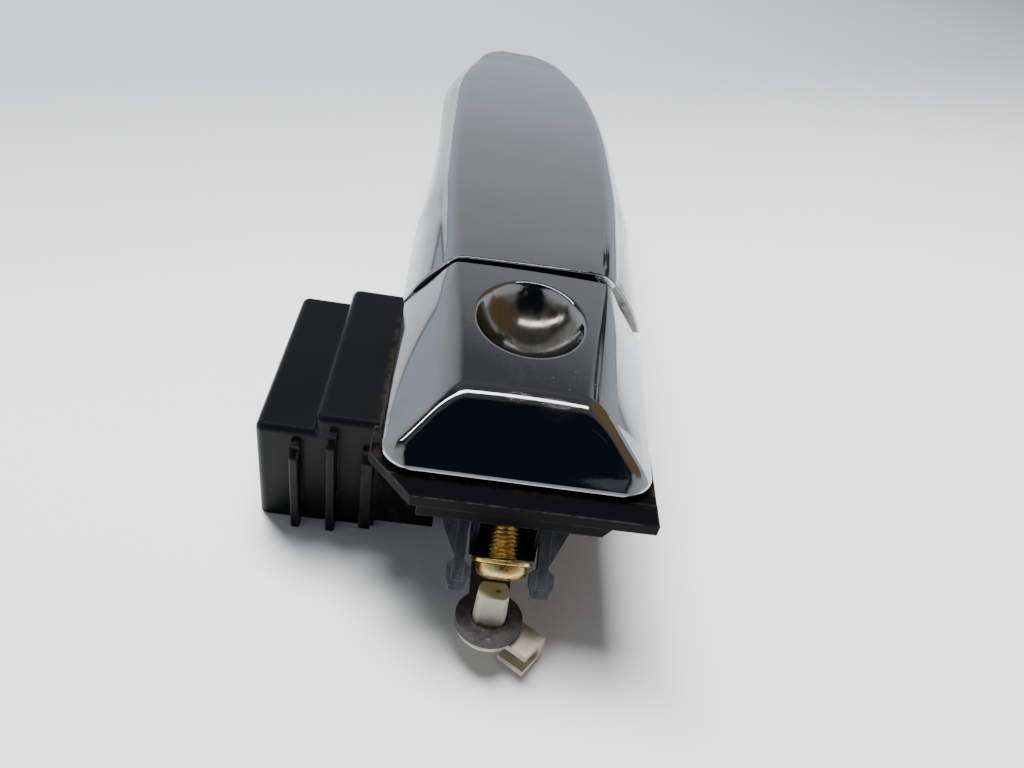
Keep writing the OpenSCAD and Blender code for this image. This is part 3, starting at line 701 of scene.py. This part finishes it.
def build_grip():
    xs = GRIP[:, 0]
    tip_length, crown_fade, near_part, most_skew = 20, 26, 4, 1.9
    tip_turn = np.sin(np.linspace(0, math.pi / 2, 42))
    ys = np.concatenate([np.linspace(GRIP_NEAR, GRIP_NEAR + near_part, 10)[:-1],
                         np.linspace(GRIP_NEAR + near_part, GRIP_FAR - tip_length, 150)[:-1],
                         GRIP_FAR - tip_length * (1 - tip_turn)])
    sections = [[float(spline(xs, GRIP[:, c], np.array([y]))[0]) for c in range(1, 7)] for y in ys]
    verts, faces = [], []

    def skew(x, y):
        """The grip's near edge runs back a little towards the right."""
        from_left = np.clip((x + GRIP[0, 1]) * 0.036, 0, most_skew)
        return y + np.clip((GRIP_NEAR + near_part - y) / near_part, 0, 1) * from_left

    def add_ring(section, y, wall, crown, dy=0.0):
        base = len(verts)
        for x, z in grip_profile(section, wall, crown):
            verts.append([x, skew(x, y) + dy, z])
        return base

    # the outer skin: a rounded near edge, the sections, and a rounded far tip
    outer = [add_ring(sections[0], GRIP_NEAR, wall, GRIP_CROWN, dy)
             for wall, dy in ((0.30, 0.0), (0.12, 0.06), (0.0, 0.30))]
    cols = len(verts) // len(outer)
    for section, y in zip(sections[1:], ys[1:]):
        fade = min(1, (GRIP_FAR - y) / crown_fade)
        outer.append(add_ring(section, y, 0.0, GRIP_CROWN * fade))
    smaller = (-0.3, -0.3, -0.25, -0.3, -0.3, 0.1)
    tip = [size + change for size, change in zip(sections[-1], smaller)]
    outer.append(add_ring(tip, GRIP_FAR, 0.0, 0.0))
    for a, b in zip(outer, outer[1:]):
        faces += [(a + c, a + c + 1, b + c + 1, b + c) for c in range(cols - 1)]
    # the inner skin has every fourth section
    inner = {i: add_ring(sections[i], ys[i], GRIP_WALL, GRIP_CROWN)
             for i in range(0, len(ys), 4) if ys[i] <= HOLLOW_END}
    inner_rings = list(inner.values())
    for a, b in zip(inner_rings, inner_rings[1:]):
        faces += [(a + c, b + c, b + c + 1, a + c + 1) for c in range(cols - 1)]
    # the near end face between the skins
    end = len(faces)
    a, b = outer[0], inner[0]
    faces += [(a + c, b + c, b + c + 1, a + c + 1) for c in range(cols - 1)]
    end_stop = len(faces)
    # the two lower edges, where several outer rings share one inner ring
    here = inner[0]
    for k, (a, b) in enumerate(zip(outer, outer[1:])):
        after = inner.get(k - 1, here)
        for c in (0, cols - 1):
            around = [a + c, b + c, after + c, here + c]
            if after == here:
                around = around[:3]
            faces.append(tuple(around if c == 0 else around[::-1]))
        here = after
    # the far ends of both skins, and the strip between them underneath
    a, b = outer[-1], inner_rings[-1]
    faces.append(tuple(a + c for c in range(cols)))
    faces.append(tuple(b + c for c in range(cols - 1, -1, -1)))
    faces.append((a, a + cols - 1, b + cols - 1, b))
    piece = new_piece("grip_chrome", verts, faces, "grip", "grip_shell", sharp=48)
    wear_material(piece, "chrome", "raw")
    # the near end face is bare plastic on its right and low down
    for f in piece.data.polygons[end:end_stop]:
        middle = sum((piece.data.vertices[v].co for v in f.vertices), Vector()) / len(f.vertices)
        if middle.x > 19.5 * MM or middle.z < 4 * MM:
            f.material_index = 1


build_grip()


# ---------- the clamp screw, with a real helix ----------
def build_screw():
    tilt = math.radians(37)
    origin, ax = Vector((-0.5, -2.0, -9.3)), Vector((1, 0, 0))
    az = Vector((0, -math.cos(tilt), -math.sin(tilt)))
    ay = az.cross(ax).normalized()
    sides, pitch, root, crest = 56, 0.8, 2.42, 2.88
    start, stop = -12.2, 6.88
    verts, faces = [], []

    def place(r, a, h):
        """A point at a radius, an angle and a height along the screw."""
        p = origin + ax * (r * math.cos(a)) + ay * (r * math.sin(a)) + az * h
        verts.append([p.x, p.y, p.z])

    def hexagon(r):
        """A hexagon's radius at an angle, as a function."""
        flat = r * math.cos(math.pi / 6)
        return lambda a: flat / math.cos(a % (math.pi / 3) - math.pi / 6) * 1.08

    def ring_onto(previous, h, radius_at):
        """A ring at a height, joined to the ring before it."""
        base = len(verts)
        for k in range(sides):
            a = 2 * math.pi * k / sides
            place(radius_at(a), a, h)
        for k in range(sides):
            j = (k + 1) % sides
            faces.append((previous + k, previous + j, base + j, base + k))
        return base

    heights = np.arange(start, stop + 0.02, pitch / 11)
    for h in heights:
        fade = min(1.0, (h - start) / 1.0) * min(1.0, (stop - h) / 0.5)
        for k in range(sides):
            turn = (h / pitch - k / sides) % 1.0
            tooth = 1 - abs(2 * turn - 1)
            height = min(1.0, max(0.0, (tooth - 0.10) / 0.72))
            place(root + (crest - root) * height * fade, 2 * math.pi * k / sides, h)
    faces += grid_faces(len(heights), sides, wrap=True)
    faces.append(tuple(range(sides - 1, -1, -1)))
    ring = (len(heights) - 1) * sides
    # the flange and the button head, as radius and height
    for r, h in ((2.42, 7.35), (4.85, 7.46), (5.05, 7.6), (5.1, 8.1), (5.08, 8.7), (4.9, 9.25),
                 (4.5, 9.75), (3.9, 10.1), (3.1, 10.38), (2.6, 10.48)):
        ring = ring_onto(ring, h, lambda a: r)
    # the hexagonal socket, from its rim to its floor
    for r, h in ((2.15, 10.3), (2.1, 9.0)):
        ring = ring_onto(ring, h, hexagon(r))
    faces.append(tuple(ring + k for k in range(sides)))
    piece = new_piece("clamp_screw_thread", verts, faces, "carrier", "clamp_screw",
                      sharp=44)
    wear_material(piece, "zinc")


build_screw()

# ---------- softened copies of CAD nodes: rounding, body, material and slot ----------
for node, width, body, key, slot in (
        ("carrier", 0.35, "carrier", "carrier", "black_plastic"),
        ("cap_retainer", 0.28, "carrier", "retainer", "grey_plastic"),
        ("grip_liner", 0.4, "grip", "liner", "black_plastic"),
        ("bell_crank", 0.3, "crank", "crank", "crank_plastic"),
        ("rod_clip", 0.3, "rod_clip", "nylon", "nylon"),
        ("clamp_washer", 0.15, "carrier", "zinc", "yellow_zinc"),
        ("grip_frame", 0.4, "grip", "strap", "steel_strap"),
        ("counterweight", 0.4, "crank", "weight", "weight_metal")):
    wear_material(softened(node, width, body), key)


# ---------- the black side housing ----------
def build_housing():
    left, right, low, step, mid_z, top_z = -53.5, -28.05, -32.0, -41.3, -4.4, 0.0
    near, far, wall, round_r, step_r = 12.0, 58.0, 2.0, 1.8, 0.9
    pivot_y, pivot_z, boss_r, boss_length = 27, -13.5, 5, 1.6
    lug_y, lug_half, lug_zs, lug_left, lug_right = 47, 4, (-10, -25), -31.2, -28.06
    verts, faces = [], []

    def arc(cx, cz, r, a0, a1):
        return [(cx + r * math.cos(math.radians(a)), cz + r * math.sin(math.radians(a)))
                for a in np.linspace(a0, a1, 7)]

    def path(inset):
        """The stepped outline, in x and z, from the lower left to the upper right."""
        r = max(round_r - inset, 0.25)
        return ([(left + inset, low)] + arc(left + inset + r, mid_z - inset - r, r, 180, 90)
                + arc(step + inset - step_r, mid_z - inset + step_r, step_r, 270, 360)
                + arc(step + inset + r, top_z - inset - r, r, 180, 90)
                + [(right, top_z - inset)])

    def ring(y, inset):
        base = len(verts)
        verts.extend([x, y, z] for x, z in path(inset))
        return base

    def low_corner(y):
        verts.append([right, y, low])
        return len(verts) - 1

    last = len(path(0)) - 1
    turns = [math.radians(a) for a in np.linspace(0, 90, 7)]
    rolls = [(round_r * (1 - math.sin(a)), round_r * (1 - math.cos(a))) for a in turns]
    outer = ([ring(near + along, inset) for along, inset in rolls[::-1]]
             + [ring(far - along, inset) for along, inset in rolls])
    inner = [ring(near + wall, wall), ring(far - wall, wall)]
    outer_near, outer_far = low_corner(near), low_corner(far)
    inner_near, inner_far = low_corner(near + wall), low_corner(far - wall)
    for a, b in zip(outer, outer[1:]):
        faces += [(a + k, a + k + 1, b + k + 1, b + k) for k in range(last)]
    a, b = inner
    faces += [(a + k, b + k, b + k + 1, a + k + 1) for k in range(last)]
    # the near and far walls, then the lower edge and the open side towards the carrier
    for base, corner in ((outer[0], outer_near), (outer[-1], outer_far),
                         (inner[0], inner_near), (inner[1], inner_far)):
        faces.append((*range(base, base + last + 1), corner))
    for k in (0, last):
        faces.append((*(base + k for base in outer), outer_far, inner_far, inner[1] + k,
                      inner[0] + k, inner_near, outer_near))
    bm = bmesh.new()
    pool = [bm.verts.new([c * MM for c in v]) for v in verts]
    for f in faces:
        bm.faces.new([pool[i] for i in f])
    # three ribs on the near wall, each with a sloping top
    for x, half, bottom, top, stand in ((-45, 0.95, low, -6.9, 3.2), (-37.4, 0.95, low, -2.7, 3.2),
                                        (-29.9, 1.3, low + 1.5, -6.5, 2.6)):
        behind, front, slope_end = near + 0.6, near - stand, near - stand * 0.45
        prism(bm, [(behind, bottom), (front, bottom), (front, top - 3), (slope_end, top - 1.5),
                   (slope_end, top - 0.3), (behind, top)], x - half, x + half, 0.4)
    # the two screw lugs, and the boss inside the left wall for the crank's shaft
    for z in lug_zs:
        low_z, high_z, lug_far = z - lug_half, z + lug_half, far - 1
        prism(bm, [(lug_y, low_z), (lug_far, low_z), (lug_far, high_z), (lug_y, high_z)],
              lug_left, lug_right, 0.3)
    boss_x = left + wall - 0.4
    circle = [(pivot_y + boss_r * math.cos(a), pivot_z + boss_r * math.sin(a))
              for a in np.linspace(0, 2 * math.pi, 41)[:-1]]
    prism(bm, circle, boss_x, boss_x + boss_length, 0.2)
    bmesh.ops.recalc_face_normals(bm, faces=bm.faces)
    piece = piece_from_bmesh(bm, "side_housing_skin", "carrier", "side_housing",
                             sharp=32)
    wear_material(piece, "housing")


build_housing()

# ---------- CAD nodes that keep their own shape ----------
for node, key in (("housing_screws", "steel"), ("clamp_nut", "steel"), ("liner_screws", "steel"),
                  ("grip_buffers", "rubber"), ("leg_pad", "rubber"), ("hinge_pin", "steel"),
                  ("hinge_clips", "steel"), ("foot_gasket", "rubber"), ("pivot_shaft", "steel"),
                  ("shaft_clip", "steel"), ("return_spring", "steel")):
    wear_material(NODES[node], key)


# ---------- floor, lights, sky and camera ----------
def build_floor():
    """The table, a flat sheet at the height of the object's lowest point."""
    half_size, middle_y, points = 880, 200, 60
    low_z = min(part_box(n)[0].z for n in NODES) / MM
    at = np.linspace(-half_size, half_size, points)
    verts = [(x, y + middle_y, low_z) for y in at for x in at]
    mesh = bpy.data.meshes.new("table")
    mesh.from_pydata([tuple(float(c) * MM for c in v) for v in verts], [],
                     grid_faces(points, points))
    floor = add_object("table", mesh)
    wear_material(floor, "floor")


build_floor()


def area_light(name, at, aim, size, power, color=(1, 1, 1)):
    """A flat lamp, with its place, its aim and its size in metres."""
    data = bpy.data.lights.new(name, "AREA")
    data.shape = "RECTANGLE"
    data.size, data.size_y = size
    data.energy = power
    data.color = color
    lamp = add_object(name, data)
    lamp.location = at
    lamp.rotation_euler = (Vector(aim) - Vector(at)).to_track_quat("-Z", "Y").to_euler()
    return lamp


# the strip shows in reflections and lights no dull surface, and the other two are the reverse
strip = area_light("strip", (-0.50, 0.03, 1.10), (-0.50, 0.03, 0), (1.70, 0.12), 6.0,
                   (1.0, 0.985, 0.96))
strip.visible_diffuse = False
for name, at, aim, size, power, spread in (
        ("key", (-0.10, 0.56, 1.25), (0.03, -0.12, 0), 0.62, 13.5, 100),
        ("side", (-0.46, 0.70, 1.00), (0.02, 0.0, 0), 0.45, 9.0, 110)):
    lamp = area_light(name, at, aim, (size, size), power)
    lamp.data.spread = math.radians(spread)
    lamp.visible_glossy = False


def build_sky():
    """A pale sky that darkens upwards, with dark patches for what the chrome reflects."""
    world = bpy.data.worlds.new("studio")
    bpy.context.scene.world = world
    world.use_nodes = True
    nodes, links = world.node_tree.nodes, world.node_tree.links

    def vector_math(kind, *values):
        """A vector operation on constants and on other nodes' outputs."""
        node = nodes.new("ShaderNodeVectorMath")
        node.operation = kind
        for socket, value in zip(node.inputs, values):
            if isinstance(value, bpy.types.NodeSocket):
                links.new(value, socket)
            else:
                socket.default_value = value
        return node

    plain = nodes.new("ShaderNodeTexCoord").outputs["Generated"]
    ripple = nodes.new("ShaderNodeTexNoise")
    ripple.inputs["Scale"].default_value = 6
    ripple.inputs["Detail"].default_value = 4
    links.new(plain, ripple.inputs["Vector"])
    centred = vector_math("SUBTRACT", ripple.outputs["Color"], (0.5, 0.5, 0.5)).outputs[0]
    warped = vector_math("MULTIPLY_ADD", centred, (0.12, 0.12, 0.12), plain).outputs[0]

    def toward(direction, inner, outer):
        """1 inside a ragged cone round a direction, 0 outside it, with two angles in degrees."""
        dot = vector_math("DOT_PRODUCT", warped, Vector(direction).normalized())
        span = nodes.new("ShaderNodeMapRange")
        span.interpolation_type = "SMOOTHSTEP"
        links.new(dot.outputs["Value"], span.inputs["Value"])
        span.inputs["From Min"].default_value = math.cos(math.radians(outer))
        span.inputs["From Max"].default_value = math.cos(math.radians(inner))
        return span.outputs["Result"]

    def patched(under, patch, colour):
        """The sky under a patch, with the patch's colour over it."""
        node = nodes.new("ShaderNodeMix")
        node.data_type = "RGBA"
        links.new(patch, node.inputs["Factor"])
        links.new(under, node.inputs[6])
        node.inputs[7].default_value = (*colour, 1)
        return node.outputs[2]

    split = nodes.new("ShaderNodeSeparateXYZ")
    links.new(plain, split.inputs[0])
    ramp = nodes.new("ShaderNodeValToRGB")
    links.new(split.outputs["Z"], ramp.inputs["Fac"])
    stops = ramp.color_ramp.elements
    horizon, overhead = stops
    horizon.color, overhead.color = (0.62, 0.68, 0.77, 1), (0.09, 0.092, 0.10, 1)
    for at, colour in ((0.20, (0.62, 0.665, 0.72)), (0.36, (0.565, 0.58, 0.595)),
                       (0.59, (0.445, 0.45, 0.456)), (0.68, (0.355, 0.357, 0.36)),
                       (0.75, (0.112, 0.113, 0.116)), (0.85, (0.145, 0.145, 0.15))):
        stop = stops.new(at)
        stop.color = (*colour, 1)
    sky = ramp.outputs["Color"]
    for direction, inner, outer, colour in (
            ((0.06, -0.62, 0.78), 22, 30, (0.009, 0.013, 0.022)),
            ((-0.62, 0.0, 0.70), 14, 27, (0.035, 0.037, 0.042)),
            ((0.188, -0.70, 0.688), 3.2, 4.1, (0.10, 0.115, 0.13)),
            ((0.74, 0.12, 0.66), 22, 30, (0.23, 0.155, 0.082)),
            ((0.50, 0.69, 0.50), 6, 9, (0.06, 0.06, 0.065))):
        sky = patched(sky, toward(direction, inner, outer), colour)
    links.new(sky, nodes["Background"].inputs["Color"])
    nodes["Background"].inputs["Strength"].default_value = 1.0


build_sky()


def build_camera():
    """The camera that was fitted to the photo."""
    pitch, roll, yaw = (math.radians(a) for a in (40.60, 11.96, 6.24))
    place = Vector((-16.4, -104.12, 115.86)) * MM
    sensor_width, focal_length = 36, 28.30078125
    ahead = Vector((math.sin(yaw) * math.cos(pitch), math.cos(yaw) * math.cos(pitch),
                    -math.sin(pitch)))
    right = Vector((math.cos(yaw), -math.sin(yaw), 0))
    up = right.cross(ahead)
    x = right * math.cos(roll) + up * math.sin(roll)
    y = right * -math.sin(roll) + up * math.cos(roll)
    data = bpy.data.cameras.new("photo")
    data.sensor_width, data.lens = sensor_width, focal_length
    data.clip_start, data.clip_end = 5 * MM, 50
    camera = add_object("photo", data)
    camera.matrix_world = (Matrix.Translation(place)
                           @ Matrix((x, y, -ahead)).transposed().to_4x4())
    bpy.context.scene.camera = camera


build_camera()
